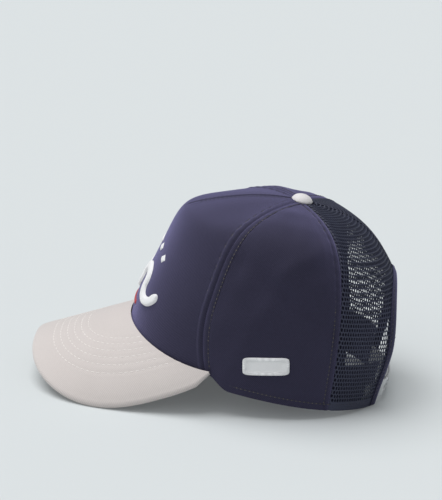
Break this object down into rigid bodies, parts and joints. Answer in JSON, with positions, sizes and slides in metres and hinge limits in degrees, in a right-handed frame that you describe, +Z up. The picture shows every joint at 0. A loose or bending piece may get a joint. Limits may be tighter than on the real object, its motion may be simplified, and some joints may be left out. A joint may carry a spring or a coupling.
{
  "type": "trucker mesh cap",
  "caption": "Five-panel trucker cap with stiffened front, mesh back panels, arched visor, covered button, sweatband and snap closure straps.",
  "frame": {"origin": "middle of the footprint, on the surface the cap stands on", "axes": "+Y towards the back of the cap, +X to the wearer's left, +Z up"},
  "size_m": [0.1644, 0.2668, 0.1457],
  "materials": {
    "navy_twill": "cotton twill",
    "navy_mesh": "polyester mesh, matt",
    "navy_tape": "woven cotton tape",
    "buckram": "stiff open gauze",
    "sweatband_cloth": "cotton twill",
    "stone_twill": "cotton twill",
    "board_plastic": "moulded sheet",
    "button_metal": "pressed tinplate",
    "strap_plastic": "moulded polypropylene",
    "red_thread": "satin stitch",
    "white_thread": "satin stitch over foam"
  },
  "bodies": {
    "crown": {"arch_binding": "navy_tape", "button_cover": "stone_twill", "button_shell": "button_metal", "button_stud": "button_metal", "front_emblem_bar": "red_thread", "front_emblem_mark_1": "white_thread", "front_emblem_mark_2": "white_thread", "front_emblem_mark_3": "white_thread", "front_emblem_mark_4": "white_thread", "front_emblem_mark_5": "white_thread", "front_emblem_wave": "white_thread", "front_panel": "navy_twill", "front_stiffener": "buckram", "mesh_panel_left": "navy_mesh", "mesh_panel_right": "navy_mesh", "seam_tape_back_left": "navy_tape", "seam_tape_back_right": "navy_tape", "seam_tape_centre_back": "navy_tape", "seam_tape_front_left": "navy_tape", "seam_tape_front_right": "navy_tape", "seam_tape_top_dart": "navy_tape", "side_panel_left": "navy_twill", "side_panel_right": "navy_twill", "side_patch": "white_thread", "snap_tab_inner": "strap_plastic", "snap_tab_outer": "strap_plastic", "sweatband": "sweatband_cloth", "visor_board": "board_plastic", "visor_top_cover": "stone_twill", "visor_under_cover": "stone_twill"},
    "strap_outer": {"snap_strap_outer": "strap_plastic"},
    "strap_inner": {"snap_strap_inner": "strap_plastic"}
  },
  "joints": [
    {"name": "strap_outer_swing", "type": "hinge", "parent": "crown", "child": "strap_outer", "pos_m": [0.0345, 0.12103, 0.01065], "axis": [0, -0.1782, -0.984], "range_deg": [0, 70], "stiffness_Nm_per_rad": 0.004},
    {"name": "strap_inner_swing", "type": "hinge", "parent": "crown", "child": "strap_inner", "pos_m": [-0.0345, 0.12103, 0.01065], "axis": [0, -0.1782, -0.984], "range_deg": [0, 45], "stiffness_Nm_per_rad": 0.004}
  ]
}
